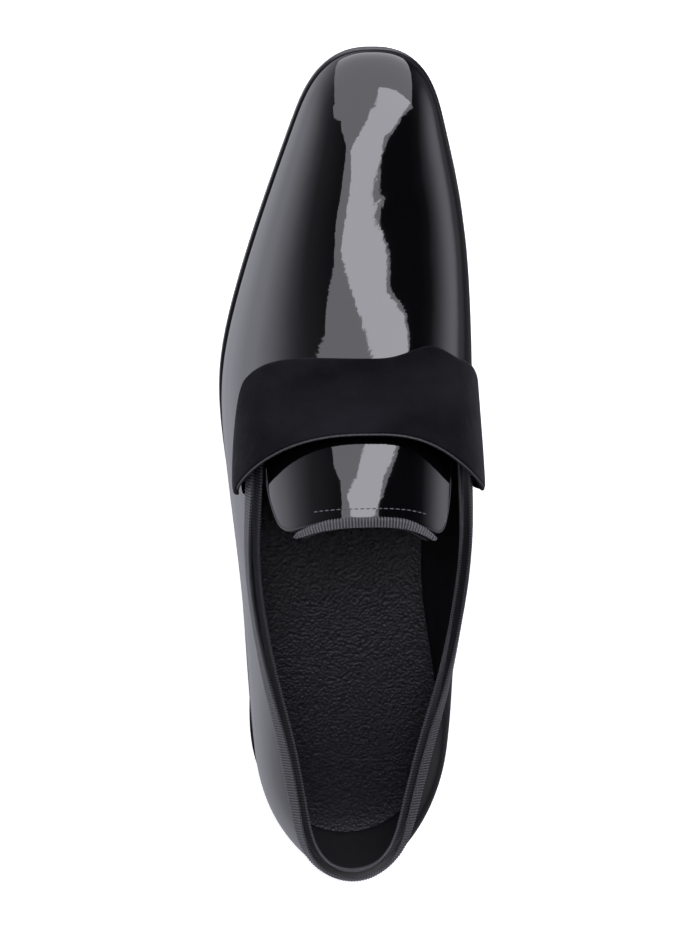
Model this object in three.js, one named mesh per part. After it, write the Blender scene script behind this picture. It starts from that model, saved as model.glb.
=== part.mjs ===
// A left dress loafer in patent leather: raised tongue, saddle strap, ribbon-bound collar.
// Millimetres. Z is up, Y runs from the heel to the toe, X towards the medial side of the foot.

import * as THREE from "three";

// Driving sizes of the last and the upper
const SHOE_LENGTH = 304; // upper, from the back of the heel to the tip of the toe
const BALL_WIDTH = 94; // upper over the ball of the foot
const HEEL_WIDTH = 73; // upper over the counter
const INSTEP_HEIGHT = 92; // ridge of the instep above the floor, where the tongue ends
const TOE_HEIGHT = 40; // ridge over the toe box above the floor
const COLLAR_HEIGHT = 70; // collar above the floor at the back of the heel
const UPPER_WALL = 1.8; // patent leather with its lining
const TOE_ROUND = 30; // length over which the toe rounds off
const HEEL_ROUND = 48; // length over which the heel rounds off

// Driving sizes of the bottom
const HEEL_LIFT = 22; // underside of the outsole above the floor at the back
const TOE_SPRING = 9; // underside of the outsole above the floor at the toe
const OUTSOLE_THICKNESS = 4.5;
const SOLE_EDGE = 1.2; // how far the sole stands out past the upper's foot
const HEEL_LENGTH = 68; // heel block, from its back to its breast
const HEEL_TAPER = 2; // how far the heel draws in from its top to the floor
const TOP_LIFT = 6; // wearing layer under the heel
const BREAST_HOLLOW = 5; // how far the heel's breast curves back in the middle
const INSOLE_THICKNESS = 3.2;

// Driving sizes of the tongue, the strap and the ribbon
const THROAT = 187; // rear edge of the vamp, from the back of the heel
const TONGUE_END = 156.5; // rear edge of the tongue on the ridge, from the back of the heel
const TONGUE_LAP = 8; // how far the tongue runs in under the vamp
const TONGUE_THICKNESS = 2;
const TONGUE_CLEARANCE = 0.7; // between the tongue and the vamp that it runs in under
const TONGUE_SWEEP = 12; // how much further back the tongue's corners reach than its middle
const STRAP_FRONT = 204.8; // front edge of the strap on the ridge, from the back of the heel
const STRAP_REAR = 181.5; // rear edge of the strap on the ridge, from the back of the heel
const STRAP_LATERAL_FRONT_SWEEP = 59; // how far back its edges would run at the foot of the wall
const STRAP_MEDIAL_FRONT_SWEEP = 43;
const STRAP_LATERAL_REAR_SWEEP = 81;
const STRAP_MEDIAL_REAR_SWEEP = 138;
const STRAP_WAVE = 3.4; // how far the front edge swells forwards on the medial side
const STRAP_THICKNESS = 2;
const STRAP_RISE = 3.1; // how far the strap's rear edge stands off, over the ribbon and the tongue
const RIBBON_THICKNESS = 0.8;
const RIBBON_CLEARANCE = 0.4; // between the ribbon and the edge that it is folded over
const RIBBON_FOLD = 0.6; // how sharp the ribbon's fold is, 1 is square
const COLLAR_RIBBON_DEPTH = 4.5; // how far the ribbon reaches down each face of the collar
const TONGUE_RIBBON_DEPTH = 2.4; // how far it reaches down each face of the tongue
const TONGUE_RIBBON_INSET = 0.03; // share of the tongue's rear edge left bare at each corner
const RIBBON_START = 168; // front ends of the collar's ribbon, under the strap
const FIT_GAP = 0.3; // clearance between pieces that touch in the real shoe

// Ends of the strap and edges of the tongue, as places across the instep: 0 is the ridge and 1
// the foot of the wall
const STRAP_LATERAL_END = 0.635;
const STRAP_MEDIAL_END = 0.76;
const STRAP_HOLD = 0.6; // place towards which the medial rear edge stops running back
const STRAP_WAVE_SPAN = 0.44; // place at which the swelling of the front edge has died out
const STRAP_END_SLANT = 0.05; // how much wider the strap spans at its rear than in its middle
const STRAP_CORNER = 0.05; // how far its corners are cut back across the instep
const STRAP_CORNER_LENGTH = 0.09; // and along the shoe, in shares of the strap's length
const TONGUE_LATERAL = 0.495;
const TONGUE_MEDIAL = 0.415;
const TONGUE_TAPER = 0.17; // how much the tongue narrows at its rear end
const TONGUE_CORNER_LENGTH = 5; // how far its corners are rounded forwards

// Exponents of curves, higher is blunter or starts later
const HEEL_BLUNTNESS = 2.5;
const TOE_BLUNTNESS = 4;
const TOE_FULLNESS = 0.4;
const PINCH_GROWTH = 2.5;
const TUCK_GROWTH = 5;
const BREAST_GROWTH = 3;
const STRAP_FRONT_CURVE = 3.1;
const STRAP_REAR_CURVE = 2.14;
const CORNER_CURVE = 8;
const STRAP_CORNER_CURVE = 12;
const TONGUE_TAPER_CURVE = 6;
const TONGUE_CORNER_CURVE = 10;

// Where the section lines start to fan out round the two ends, as shares of the length
const TOE_FAN = 0.69;
const HEEL_FAN = 0.22;

// Sections of the last in even steps from the heel (first row) to the toe (last row).
// heelPart and ballPart: half width, in shares of the heel's and the ball's width
// middle, ridge: sideways place of the section's middle and of its ridge, in shares of the ball's width
// rise: height of the ridge, 0 at the toe box and 1 at the end of the tongue
// lift, spring: height of the sole, in shares of the heel's lift and the toe's spring
// fullness: exponent of the side curve, lower is squarer
// pinch: how far the collar closes in on the foot, in shares of the half width
// lateralTuck, medialTuck: how far the wall draws in at its foot, in shares of the half width
const SECTION_COLUMNS = [
  "heelPart", "ballPart", "middle", "ridge", "rise",
  "lift", "spring", "fullness", "pinch", "lateralTuck", "medialTuck",
];
const SECTIONS = [
  [0.500, 0.000, 0.000, 0.000, 1.25, 1.02, 0.00, 0.75, 0.08, 0.10, 0.10],
  [0.522, 0.000, 0.010, 0.000, 1.15, 0.98, 0.00, 0.62, 0.36, 0.10, 0.11],
  [0.565, 0.010, 0.022, 0.010, 0.90, 0.88, 0.00, 0.60, 0.26, 0.09, 0.16],
  [0.280, 0.240, 0.018, 0.030, 1.05, 0.68, 0.00, 0.78, 0.10, 0.08, 0.32],
  [0.080, 0.418, 0.012, 0.038, 1.15, 0.40, 0.00, 0.76, 0.00, 0.08, 0.40],
  [0.000, 0.505, -0.002, 0.038, 1.00, 0.12, 0.00, 0.76, 0.00, 0.06, 0.24],
  [0.000, 0.512, -0.016, 0.040, 0.70, -0.03, 0.00, 0.80, 0.00, 0.03, 0.09],
  [0.000, 0.466, 0.012, 0.048, 0.32, -0.03, 0.00, 0.74, 0.00, 0.03, 0.05],
  [0.000, 0.402, 0.045, 0.056, 0.08, 0.00, 0.12, 0.66, 0.00, 0.04, 0.04],
  [0.000, 0.302, 0.058, 0.064, -0.06, 0.00, 0.45, 0.64, 0.00, 0.04, 0.04],
  [0.000, 0.200, 0.070, 0.070, -0.20, 0.00, 1.00, 0.64, 0.00, 0.04, 0.04],
];

// About how far up the wall the collar lies round the heel, where the pinch is reached
const COLLAR_CLIMB = 0.37;

// Height of the collar in shares of its height at the back, in even steps from heel to throat
const COLLAR = [1.0, 0.92, 0.835, 0.80, 0.82, 0.87, 0.72];

// Mesh density
const STATIONS = 46; // section lines along each side of the shoe
const WALL_STEPS = 6; // from the upper's foot to its collar
const VAMP_STEPS = 7; // from the collar's line to the ridge
const PLATE_RINGS = 3; // across half of the sole and the insole
const HEEL_ROWS = 14; // from the back of the heel to its breast
const HEEL_COLUMNS = 6;
const STRAP_COLUMNS = 32; // from end to end
const STRAP_ROWS = 8; // from the front edge to the rear edge
const TONGUE_COLUMNS = 20;
const TONGUE_ROWS = 12;
const TONGUE_RIBBON_STEPS = 24;
const WELD_DISTANCE = 0.002; // points closer than this are one

// Cubic B-spline through a row of evenly spaced control values, share runs from 0 to 1
function spline(values, share) {
  const last = values.length - 1;
  const place = Math.min(Math.max(share, 0), 1) * last;
  const cell = Math.min(Math.floor(place), last - 1);
  const t = place - cell;
  const control = (index) => {
    if (index < 0) return 2 * values[0] - values[1];
    if (index > last) return 2 * values[last] - values[last - 1];
    return values[index];
  };
  const before = (1 - t) ** 3;
  const first = 3 * t ** 3 - 6 * t ** 2 + 4;
  const second = -3 * t ** 3 + 3 * t ** 2 + 3 * t + 1;
  const after = t ** 3;
  const sum = before * control(cell - 1) + first * control(cell)
    + second * control(cell + 1) + after * control(cell + 2);
  return sum / 6;
}

const sectionValues = {};
SECTION_COLUMNS.forEach((name, index) => {
  sectionValues[name] = SECTIONS.map((row) => row[index]);
});

// Value of one column of the section table at a distance y from the heel
function section(name, y) {
  return spline(sectionValues[name], y / SHOE_LENGTH);
}

// How much of the full width is left where the two ends round off
function endRounding(y) {
  const heel = Math.min(Math.max((HEEL_ROUND - y) / HEEL_ROUND, 0), 1);
  const toe = Math.min(Math.max((y - SHOE_LENGTH + TOE_ROUND) / TOE_ROUND, 0), 1);
  return Math.sqrt(1 - heel ** HEEL_BLUNTNESS) * (1 - toe ** TOE_BLUNTNESS) ** TOE_FULLNESS;
}

function halfWidth(y) {
  const full = section("heelPart", y) * HEEL_WIDTH + section("ballPart", y) * BALL_WIDTH;
  return full * endRounding(y);
}

// The section line that starts at y on the outline ends here on the shoe's axis
function axisY(y) {
  const toeStart = TOE_FAN * SHOE_LENGTH;
  const toeReach = SHOE_LENGTH - toeStart;
  const heelReach = HEEL_FAN * SHOE_LENGTH;
  if (y > toeStart) {
    const t = (y - toeStart) / toeReach;
    return toeStart + toeReach * (t - t * t / 2);
  }
  if (y < heelReach) {
    const t = (heelReach - y) / heelReach;
    return heelReach * (1 - t + t * t / 2);
  }
  return y;
}

function ridgeHeight(y) {
  return TOE_HEIGHT + (INSTEP_HEIGHT - TOE_HEIGHT) * section("rise", y);
}

// Top face of the outsole
function soleTop(y) {
  return OUTSOLE_THICKNESS + HEEL_LIFT * section("lift", y) + TOE_SPRING * section("spring", y);
}

// Underside of the outsole, ground flat where it meets the floor
function soleBottom(y) {
  return Math.max(soleTop(y) - OUTSOLE_THICKNESS, 0);
}

// A turn of 0 is the back of the heel and 1 or -1 the tip of the toe; positive is medial
function turnToY(turn) {
  return SHOE_LENGTH * (1 - Math.cos(Math.PI * Math.abs(turn))) / 2;
}

function yToTurn(y) {
  return Math.acos(1 - 2 * y / SHOE_LENGTH) / Math.PI;
}

// Outer face of the upper. A climb of 0 is the foot of the wall and 1 the ridge.
function upperPoint(turn, climb) {
  if (climb > 1) return upperPoint(-turn, 2 - climb);
  if (turn > 1) return upperPoint(turn - 2, climb);
  if (turn < -1) return upperPoint(turn + 2, climb);
  const y = turnToY(turn);
  const side = turn < 0 ? -1 : 1;
  const angle = climb * Math.PI / 2;
  const out = Math.max(Math.cos(angle), 0) ** section("fullness", y);
  const up = Math.sin(angle);
  const tuck = section(side < 0 ? "lateralTuck" : "medialTuck", y);
  const closing = section("pinch", y) * (Math.max(climb, 0) / COLLAR_CLIMB) ** PINCH_GROWTH;
  const reach = out * (1 - tuck * (1 - climb) ** TUCK_GROWTH) * (1 - closing);
  const centre = axisY(y);
  const ridgeX = section("ridge", centre) * BALL_WIDTH;
  const shift = (section("middle", y) * BALL_WIDTH - ridgeX) * Math.cos(angle) ** 2;
  const foot = soleTop(y) + FIT_GAP;
  const along = centre + (y - centre) * reach;
  const crest = ridgeHeight(y < THROAT ? centre : along);
  return new THREE.Vector3(
    ridgeX + shift + side * halfWidth(y) * reach,
    along,
    foot + (crest - foot) * up,
  );
}

const SLOPE_STEP = 1e-3;

function alongWall(turn, climb) {
  const ahead = upperPoint(turn, climb + SLOPE_STEP);
  return ahead.sub(upperPoint(turn, climb - SLOPE_STEP)).normalize();
}

// Unit normal of the upper's outer face, pointing out of the shoe
function upperNormal(turn, climb) {
  const along = upperPoint(turn + SLOPE_STEP, climb).sub(upperPoint(turn - SLOPE_STEP, climb));
  return along.cross(alongWall(turn, climb)).normalize();
}

// The climb at which the collar cuts the wall
function collarClimb(y) {
  const height = COLLAR_HEIGHT * spline(COLLAR, y / THROAT);
  const foot = soleTop(y) + FIT_GAP;
  const share = (height - foot) / (ridgeHeight(axisY(y)) - foot);
  return Math.asin(Math.min(share, 1)) * 2 / Math.PI;
}

const throatClimb = collarClimb(THROAT);

function wallClimb(y) {
  return y < THROAT ? collarClimb(y) : throatClimb;
}

function range(count) {
  return Array.from({ length: count + 1 }, (unused, index) => index / count);
}

// Even turns from one to another
function turnsBetween(from, to, count) {
  return range(count).map((share) => from + (to - from) * share);
}

const throatTurn = yToTurn(THROAT);
const rearStations = Math.round(STATIONS * throatTurn);
const rearTurns = turnsBetween(0, throatTurn, rearStations);
const frontTurns = turnsBetween(throatTurn, 1, STATIONS - rearStations);
const sideTurns = [...rearTurns, ...frontTurns.slice(1)];

// A sheet is a list of points and of triangles; grids that share points are joined into one
function sheetOf(grids) {
  const points = [];
  const triangles = [];
  const known = new Map();
  const indexOf = (point) => {
    const key = point.toArray().map((value) => Math.round(value / WELD_DISTANCE)).join(" ");
    if (!known.has(key)) {
      known.set(key, points.length);
      points.push(point);
    }
    return known.get(key);
  };
  const addTriangle = (a, b, c) => {
    if (a !== b && b !== c && c !== a) triangles.push([a, b, c]);
  };
  for (const grid of grids) {
    const rows = grid.map((row) => row.map(indexOf));
    for (let i = 0; i + 1 < rows.length; i += 1) {
      for (let j = 0; j + 1 < rows[i].length; j += 1) {
        addTriangle(rows[i][j], rows[i + 1][j], rows[i + 1][j + 1]);
        addTriangle(rows[i][j], rows[i + 1][j + 1], rows[i][j + 1]);
      }
    }
  }
  return { points, triangles };
}

function sheetNormals(sheet) {
  const normals = sheet.points.map(() => new THREE.Vector3());
  for (const triangle of sheet.triangles) {
    const [a, b, c] = triangle.map((index) => sheet.points[index]);
    const face = b.clone().sub(a).cross(c.clone().sub(a));
    triangle.forEach((index) => normals[index].add(face));
  }
  return normals.map((normal) => normal.normalize());
}

// Closes a sheet and a second face, given point by point, into a solid
function thicken(sheet, secondFace) {
  const normals = sheetNormals(sheet);
  const count = sheet.points.length;
  const second = sheet.points.map((point, index) => secondFace(point, normals[index]));
  const indices = [];
  const edges = new Set();
  for (const [a, b, c] of sheet.triangles) {
    indices.push(a, b, c, count + a, count + c, count + b);
    edges.add(`${a} ${b}`).add(`${b} ${c}`).add(`${c} ${a}`);
  }
  for (const edge of edges) {
    const [a, b] = edge.split(" ").map(Number);
    if (edges.has(`${b} ${a}`)) continue;
    indices.push(b, a, count + a, b, count + a, count + b);
  }
  const geometry = new THREE.BufferGeometry();
  const coordinates = [...sheet.points, ...second].flatMap((point) => point.toArray());
  geometry.setAttribute("position", new THREE.Float32BufferAttribute(coordinates, 3));
  geometry.setIndex(indices);
  geometry.computeVertexNormals();
  return geometry;
}

// A grid of points, one for each pair of a row's and a column's value
function gridOf(rows, columns, pointAt) {
  return rows.map((row) => columns.map((column) => pointAt(row, column)));
}

// Both halves of a grid that is described on the medial side, facing outwards
function bothSides(turns, steps, pointAt) {
  const medial = gridOf(turns, steps, (turn, step) => pointAt(turn, step));
  const lateral = gridOf([...turns].reverse(), steps, (turn, step) => pointAt(-turn, step));
  return [medial, lateral];
}

function upperGeometry() {
  const wall = bothSides(sideTurns, range(WALL_STEPS), (turn, step) => (
    upperPoint(turn, wallClimb(turnToY(turn)) * step)));
  const vamp = bothSides(frontTurns, range(VAMP_STEPS), (turn, step) => (
    upperPoint(turn, throatClimb + (1 - throatClimb) * step)));
  return thicken(sheetOf([...wall, ...vamp]), (point, normal) => {
    const onFoot = Math.abs(point.z - soleTop(point.y) - FIT_GAP) < WELD_DISTANCE;
    const inward = normal.clone();
    if (onFoot) inward.setZ(0).normalize();
    const inner = point.clone().addScaledVector(inward, -UPPER_WALL);
    if (onFoot) inner.z = soleTop(inner.y) + FIT_GAP;
    return inner;
  });
}

// A point of a plate under the shoe: its outline is the upper's foot moved outwards by grow
function platePoint(turn, share, grow) {
  const edge = upperPoint(turn, 0);
  const outward = upperNormal(turn, 0).setZ(0).normalize();
  edge.addScaledVector(outward, grow);
  const centre = axisY(turnToY(turn));
  const axis = new THREE.Vector3(section("middle", centre) * BALL_WIDTH, centre, 0);
  return axis.lerp(edge, 1 - share);
}

function plateSheet(grow, heightAt) {
  const grids = bothSides(sideTurns, range(PLATE_RINGS), (turn, step) => {
    const point = platePoint(turn, step, grow);
    return point.setZ(heightAt(point.y));
  });
  return sheetOf(grids);
}

function outsoleGeometry() {
  return thicken(plateSheet(SOLE_EDGE, soleTop), (point) => point.clone().setZ(soleBottom(point.y)));
}

function insoleGeometry() {
  const seat = (y) => soleTop(y) + FIT_GAP;
  const sheet = plateSheet(-UPPER_WALL - FIT_GAP, (y) => seat(y) + INSOLE_THICKNESS);
  return thicken(sheet, (point) => point.clone().setZ(seat(point.y)));
}

// A layer of the heel between two heights. Its outline is the outsole's, drawn in towards the floor.
function heelLayer(topAt, bottomAt) {
  const drawIn = (height) => HEEL_TAPER * (1 - Math.min(height / HEEL_LIFT, 1));
  const place = (row, column, inset) => {
    const y = inset + (HEEL_LENGTH - inset) * (1 - Math.cos(row * Math.PI / 2));
    const across = column * 2 - 1;
    const outline = Math.abs(platePoint(yToTurn(y - inset), 0, SOLE_EDGE).x) - inset;
    const half = row > 0 ? Math.max(outline, 0) : 0;
    const hollow = BREAST_HOLLOW * (1 - across * across) * row ** BREAST_GROWTH;
    return new THREE.Vector3(across * half, y - hollow, 0);
  };
  const pointAt = (row, column, heightAt) => {
    const first = place(row, column, 0);
    const height = heightAt(first.y);
    return place(row, column, drawIn(height)).setZ(height);
  };
  const second = new Map();
  const grid = gridOf(range(HEEL_ROWS), range(HEEL_COLUMNS), (row, column) => {
    const top = pointAt(row, 1 - column, topAt);
    second.set(top, pointAt(row, 1 - column, bottomAt));
    return top;
  });
  return thicken(sheetOf([grid]), (point) => second.get(point));
}

function heelBlockGeometry() {
  return heelLayer((y) => soleBottom(y) - FIT_GAP, () => TOP_LIFT + FIT_GAP);
}

function topLiftGeometry() {
  return heelLayer(() => TOP_LIFT, () => 0);
}

// A point over the instep at a distance y from the heel; across is -1 at the lateral foot of the
// wall, 0 on the ridge and 1 at the medial foot
function overInstep(y, across) {
  const turn = yToTurn(y) * (across < 0 ? -1 : 1);
  return { turn, climb: 1 - Math.abs(across) };
}

// A flexible band over the instep: a grid of places on the upper, each with its own lift
function bandGeometry(columns, rows, placeAt, thickness) {
  const normals = new Map();
  const grid = gridOf(range(rows), range(columns), (row, column) => {
    const { y, across, lift } = placeAt(row, column);
    const { turn, climb } = overInstep(y, across);
    const normal = upperNormal(turn, climb);
    const point = upperPoint(turn, climb).addScaledVector(normal, lift + thickness);
    normals.set(point, normal);
    return point;
  });
  return thicken(sheetOf([grid]), (point) => (
    point.clone().addScaledVector(normals.get(point), -thickness)));
}

// A place on the strap: rows run from its front edge to its rear edge, columns from its lateral end
function strapPlace(row, column) {
  const side = column * 2 - 1;
  const along = row * 2 - 1;
  const end = side < 0 ? STRAP_LATERAL_END : STRAP_MEDIAL_END;
  const slant = 1 + STRAP_END_SLANT * along;
  const across = side * end * slant * (1 - STRAP_CORNER * along ** CORNER_CURVE);
  const spread = Math.abs(across);
  const held = side < 0 ? spread : STRAP_HOLD * Math.tanh(spread / STRAP_HOLD);
  const swell = (1 - Math.cos(2 * Math.PI * Math.min(spread / STRAP_WAVE_SPAN, 1))) / 2;
  const wave = side < 0 ? 0 : STRAP_WAVE * swell;
  const frontSweep = side < 0 ? STRAP_LATERAL_FRONT_SWEEP : STRAP_MEDIAL_FRONT_SWEEP;
  const rearSweep = side < 0 ? STRAP_LATERAL_REAR_SWEEP : STRAP_MEDIAL_REAR_SWEEP;
  const front = STRAP_FRONT + wave - frontSweep * spread ** STRAP_FRONT_CURVE;
  const rear = STRAP_REAR - rearSweep * held ** STRAP_REAR_CURVE;
  const share = 0.5 + 0.5 * along * (1 - STRAP_CORNER_LENGTH * side ** STRAP_CORNER_CURVE);
  const lift = FIT_GAP + STRAP_RISE * row * (1 - side ** STRAP_CORNER_CURVE);
  return { y: front + (rear - front) * share, across, lift };
}

function strapGeometry() {
  return bandGeometry(STRAP_COLUMNS, STRAP_ROWS, strapPlace, STRAP_THICKNESS);
}

// The tongue's outer face lies this far under the upper's
const TONGUE_DEPTH = UPPER_WALL + TONGUE_CLEARANCE;

// A place on the tongue: rows run from its front end to its rear edge, columns from its lateral edge
function tonguePlace(row, column) {
  const side = column * 2 - 1;
  const breadth = side < 0 ? TONGUE_LATERAL : TONGUE_MEDIAL;
  const across = side * breadth * (1 - TONGUE_TAPER * row ** TONGUE_TAPER_CURVE);
  const corner = TONGUE_CORNER_LENGTH * side ** TONGUE_CORNER_CURVE;
  const rear = TONGUE_END - TONGUE_SWEEP * side ** 2 + corner;
  const front = THROAT + TONGUE_LAP;
  return { y: front + (rear - front) * row, across, lift: -TONGUE_DEPTH - TONGUE_THICKNESS };
}

function tongueGeometry() {
  return bandGeometry(TONGUE_COLUMNS, TONGUE_ROWS, tonguePlace, TONGUE_THICKNESS);
}

// A ribbon folded over an edge: at each place a U-shaped section in the plane of out and up
function ribbonGeometry(places, wall, depth) {
  const reach = RIBBON_CLEARANCE + RIBBON_THICKNESS;
  const fold = reach * RIBBON_FOLD;
  const profile = [
    [reach, -depth],
    [reach, RIBBON_CLEARANCE],
    [fold, reach],
    [-wall - fold, reach],
    [-wall - reach, RIBBON_CLEARANCE],
    [-wall - reach, -depth],
    [-wall - RIBBON_CLEARANCE, -depth],
    [-wall - RIBBON_CLEARANCE, RIBBON_CLEARANCE],
    [RIBBON_CLEARANCE, RIBBON_CLEARANCE],
    [RIBBON_CLEARANCE, -depth],
  ];
  const sections = places.map(({ point, out, up }) => profile.map(([a, b]) => (
    point.clone().addScaledVector(out, a).addScaledVector(up, b))));
  const coordinates = sections.flat().flatMap((corner) => corner.toArray());
  const indices = [];
  const size = profile.length;
  for (let i = 0; i + 1 < sections.length; i += 1) {
    for (let j = 0; j < size; j += 1) {
      const a = i * size + j;
      const b = i * size + (j + 1) % size;
      indices.push(a, b, b + size, a, b + size, a + size);
    }
  }
  const outline = profile.map(([a, b]) => new THREE.Vector2(a, b));
  const end = (sections.length - 1) * size;
  for (const face of THREE.ShapeUtils.triangulateShape(outline, [])) {
    const [a, b, c] = THREE.ShapeUtils.area(face.map((index) => outline[index])) > 0
      ? face
      : [...face].reverse();
    indices.push(c, b, a, end + a, end + b, end + c);
  }
  const geometry = new THREE.BufferGeometry();
  geometry.setAttribute("position", new THREE.Float32BufferAttribute(coordinates, 3));
  geometry.setIndex(indices);
  geometry.computeVertexNormals();
  return geometry;
}

function collarRibbonGeometry() {
  const turns = rearTurns.filter((turn) => turnToY(turn) < RIBBON_START);
  const path = [...[...turns].reverse(), ...turns.slice(1).map((turn) => -turn)];
  const places = path.map((turn) => {
    const climb = collarClimb(turnToY(turn));
    return {
      point: upperPoint(turn, climb),
      out: upperNormal(turn, climb),
      up: alongWall(turn, climb),
    };
  });
  return ribbonGeometry(places, UPPER_WALL, COLLAR_RIBBON_DEPTH);
}

// A point of the tongue's outer face and the normal there
function tongueFace(row, column) {
  const { y, across } = tonguePlace(row, column);
  const { turn, climb } = overInstep(y, across);
  const normal = upperNormal(turn, climb);
  return { point: upperPoint(turn, climb).addScaledVector(normal, -TONGUE_DEPTH), normal };
}

function tongueRibbonGeometry() {
  const places = range(TONGUE_RIBBON_STEPS).map((step) => {
    const column = TONGUE_RIBBON_INSET + (1 - 2 * TONGUE_RIBBON_INSET) * step;
    const edge = tongueFace(1, column);
    const before = tongueFace(1 - 1 / TONGUE_ROWS, column);
    const up = edge.point.clone().sub(before.point).normalize();
    return { point: edge.point, out: edge.normal, up };
  });
  return ribbonGeometry(places, TONGUE_THICKNESS, TONGUE_RIBBON_DEPTH);
}

const MATERIALS = {
  patent: { color: 0x0a0a0d, roughness: 0.06, metalness: 0 },
  velvet: { color: 0x07080c, roughness: 0.95, metalness: 0 },
  ribbon: { color: 0x17171b, roughness: 0.7, metalness: 0 },
  sock: { color: 0x1c1c21, roughness: 0.75, metalness: 0 },
  sole: { color: 0x0c0c0e, roughness: 0.45, metalness: 0 },
  rubber: { color: 0x101012, roughness: 0.8, metalness: 0 },
};

const PIECES = [
  ["outsole", outsoleGeometry, "sole"],
  ["heel_block", heelBlockGeometry, "sole"],
  ["heel_top_lift", topLiftGeometry, "rubber"],
  ["insole", insoleGeometry, "sock"],
  ["upper", upperGeometry, "patent"],
  ["tongue", tongueGeometry, "patent"],
  ["tongue_binding", tongueRibbonGeometry, "ribbon"],
  ["topline_binding", collarRibbonGeometry, "ribbon"],
  ["saddle_strap", strapGeometry, "velvet"],
];

const shoe = new THREE.Group();
for (const [name, makeGeometry, finish] of PIECES) {
  const mesh = new THREE.Mesh(makeGeometry(), new THREE.MeshStandardMaterial(MATERIALS[finish]));
  mesh.name = name;
  shoe.add(mesh);
}

// The origin is the middle of the box's bottom face
const box = new THREE.Box3().setFromObject(shoe, true);
shoe.position.set(-(box.min.x + box.max.x) / 2, -(box.min.y + box.max.y) / 2, -box.min.z);

export default shoe;
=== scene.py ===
import math

import bmesh
import bpy
import numpy as np
from mathutils import Matrix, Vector
from mathutils.kdtree import KDTree


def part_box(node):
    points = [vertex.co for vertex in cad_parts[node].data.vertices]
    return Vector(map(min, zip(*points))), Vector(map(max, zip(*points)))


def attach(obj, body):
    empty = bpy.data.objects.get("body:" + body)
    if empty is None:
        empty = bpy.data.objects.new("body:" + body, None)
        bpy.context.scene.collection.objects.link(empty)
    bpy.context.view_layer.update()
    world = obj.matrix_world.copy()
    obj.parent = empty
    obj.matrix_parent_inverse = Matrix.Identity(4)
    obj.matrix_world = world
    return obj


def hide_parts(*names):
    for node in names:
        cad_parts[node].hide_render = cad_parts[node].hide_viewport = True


# A left dress loafer: patent upper and tongue, velvet saddle strap, ribbed ribbon, grained sock.
# Shapes are worked out in millimetres on the last, as the solids are, and placed in the row's frame.

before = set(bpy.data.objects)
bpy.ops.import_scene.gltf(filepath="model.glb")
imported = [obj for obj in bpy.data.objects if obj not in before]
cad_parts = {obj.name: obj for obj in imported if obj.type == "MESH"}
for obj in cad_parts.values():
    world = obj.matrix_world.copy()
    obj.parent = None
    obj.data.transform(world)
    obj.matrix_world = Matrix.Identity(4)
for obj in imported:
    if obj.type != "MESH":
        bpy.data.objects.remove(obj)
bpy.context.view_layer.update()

MM = 0.001

# Driving sizes of the last and the upper, millimetres
SHOE_LENGTH = 304
BALL_WIDTH = 94
HEEL_WIDTH = 73
INSTEP_HEIGHT = 92
TOE_HEIGHT = 40
COLLAR_HEIGHT = 70
UPPER_WALL = 1.8
TOE_ROUND = 30
HEEL_ROUND = 48
HEEL_LIFT = 22
TOE_SPRING = 9
OUTSOLE_THICKNESS = 4.5
SOLE_EDGE = 1.2
HEEL_LENGTH = 68
HEEL_TAPER = 2
TOP_LIFT = 6
BREAST_HOLLOW = 5
INSOLE_THICKNESS = 3.2
THROAT = 187
FIT_GAP = 0.3

# Tongue, strap and ribbon, millimetres
TONGUE_END = 156.5
TONGUE_LAP = 8
TONGUE_THICKNESS = 2
TONGUE_DEPTH = UPPER_WALL + 0.7
TONGUE_SWEEP = 12
STRAP_FRONT = 204.8
STRAP_REAR = 181.5
STRAP_LATERAL_FRONT_SWEEP = 59
STRAP_MEDIAL_FRONT_SWEEP = 43
STRAP_LATERAL_REAR_SWEEP = 81
STRAP_MEDIAL_REAR_SWEEP = 138
STRAP_WAVE = 3.4
STRAP_THICKNESS = 2
STRAP_RISE = 3.1
RIBBON_THICKNESS = 0.8
RIBBON_CLEARANCE = 0.4
COLLAR_RIBBON_DEPTH = 4.5
TONGUE_RIBBON_DEPTH = 2.4
TONGUE_END_RIBBON_DEPTH = 0.7
RIBBON_START = 168

# Places across the instep: 0 is the ridge and 1 the foot of the wall
STRAP_LATERAL_END = 0.635
STRAP_MEDIAL_END = 0.76
STRAP_HOLD = 0.6
STRAP_END_SLANT = 0.05
STRAP_CORNER = 0.05
STRAP_CORNER_LENGTH = 0.09
STRAP_WAVE_SPAN = 0.44
TONGUE_LATERAL = 0.495
TONGUE_MEDIAL = 0.415
TONGUE_TAPER = 0.17
TONGUE_CORNER_LENGTH = 5

# Exponents of curves
HEEL_BLUNTNESS = 2.5
TOE_BLUNTNESS = 4
TOE_FULLNESS = 0.4
PINCH_GROWTH = 2.5
TUCK_GROWTH = 5
BREAST_GROWTH = 3
STRAP_FRONT_CURVE = 3.1
STRAP_REAR_CURVE = 2.14
CORNER_CURVE = 8
STRAP_CORNER_CURVE = 12
TONGUE_TAPER_CURVE = 6
TONGUE_CORNER_CURVE = 10

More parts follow.
